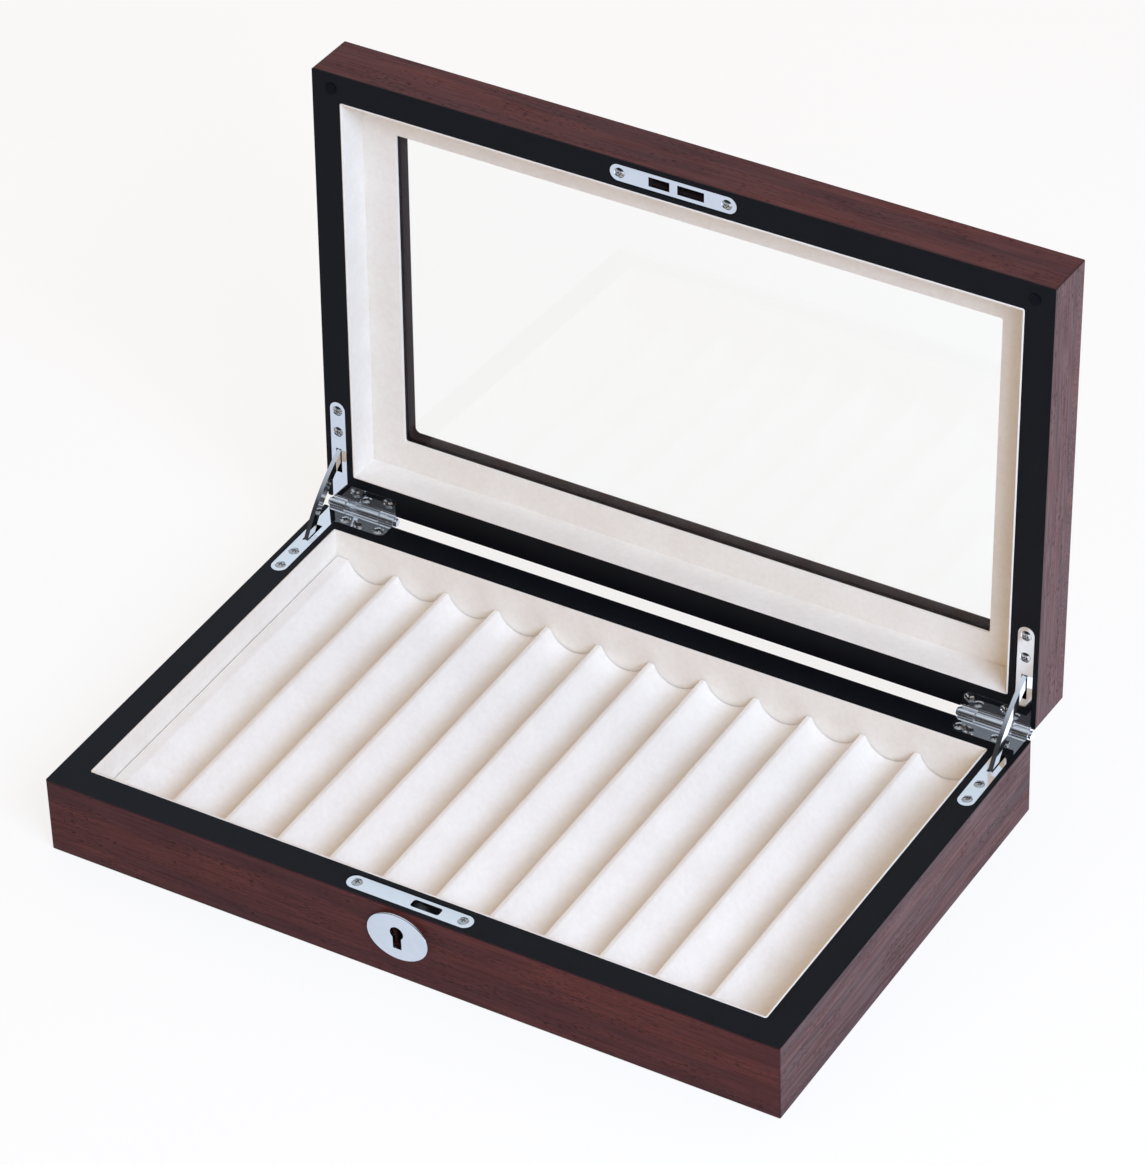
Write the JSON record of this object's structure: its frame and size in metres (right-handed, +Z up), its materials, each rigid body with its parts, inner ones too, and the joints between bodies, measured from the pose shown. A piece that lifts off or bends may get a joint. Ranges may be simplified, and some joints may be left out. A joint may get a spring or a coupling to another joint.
{
  "type": "fountain pen case",
  "caption": "Shallow wooden display case for pens with a grooved lined tray, a glazed lid on stop hinges and a hook lock, shown open.",
  "frame": {"origin": "middle of the underside, on the surface the case stands on", "axes": "+X to the right along the long side, -Y to the front with the keyhole, +Z up"},
  "size_m": [0.34, 0.2514, 0.2516],
  "materials": {
    "veneer": "satin dark reddish brown veneer",
    "black_lacquer": "satin black lacquer",
    "panel_board": "plain board",
    "velour": "short cream nap",
    "felt": "matt felt",
    "polished_metal": "mirror polished",
    "lock_steel": "plain steel",
    "glass": "clear",
    "bumper": "matt"
  },
  "bodies": {
    "base": {"base_front_wall": "veneer", "base_right_wall": "veneer", "base_back_wall": "veneer", "base_left_wall": "veneer", "base_rim_band": "black_lacquer", "bottom_panel": "panel_board", "underside_felt": "felt", "base_lining_front": "velour", "base_lining_back": "velour", "base_lining_left": "velour", "base_lining_right": "velour", "pen_tray": "velour", "hinge_base_leaf_right": "polished_metal", "hinge_base_leaf_left": "polished_metal", "hinge_pin_right": "polished_metal", "hinge_pin_left": "polished_metal", "base_hinge_screws": "polished_metal", "lock_plate": "polished_metal", "lock_plate_screws": "polished_metal", "lock_case": "lock_steel", "lock_post": "lock_steel", "escutcheon": "polished_metal"},
    "lid": {"lid_front_wall": "veneer", "lid_right_wall": "veneer", "lid_back_wall": "veneer", "lid_left_wall": "veneer", "lid_rim_band": "black_lacquer", "lid_top_panel": "veneer", "window_glass": "glass", "window_lining": "velour", "lid_lining_front": "velour", "lid_lining_back": "velour", "lid_lining_left": "velour", "lid_lining_right": "velour", "hinge_lid_leaf_right": "polished_metal", "hinge_lid_leaf_left": "polished_metal", "lid_hinge_screws": "polished_metal", "strike_plate": "polished_metal", "strike_plate_screws": "polished_metal", "lid_bumpers": "bumper"},
    "stay_arm_right": {"stay_arm_right": "polished_metal"},
    "stay_arm_left": {"stay_arm_left": "polished_metal"},
    "lock_hook": {"lock_hook": "lock_steel"}
  },
  "joints": [
    {"name": "lid_hinge", "type": "hinge", "parent": "base", "child": "lid", "pos_m": [0, 0.109, 0.0367], "axis": [1, 0, 0], "range_deg": [0, 92.3]},
    {"name": "stay_arm_right_swing", "type": "hinge", "parent": "base", "child": "stay_arm_right", "pos_m": [0, 0.109, 0.0367], "axis": [1, 0, 0], "range_deg": [0, 46.15]},
    {"name": "stay_arm_left_swing", "type": "hinge", "parent": "base", "child": "stay_arm_left", "pos_m": [0, 0.109, 0.0367], "axis": [1, 0, 0], "range_deg": [0, 46.15]},
    {"name": "lock_hook_turn", "type": "hinge", "parent": "base", "child": "lock_hook", "pos_m": [-0.0016, -0.0996, 0.0252], "axis": [0, -1, 0], "range_deg": [0, 64]}
  ],
  "couplings": [
    {"joint": "stay_arm_right_swing", "follows": "lid_hinge", "ratio": 0.5},
    {"joint": "stay_arm_left_swing", "follows": "lid_hinge", "ratio": 0.5}
  ]
}
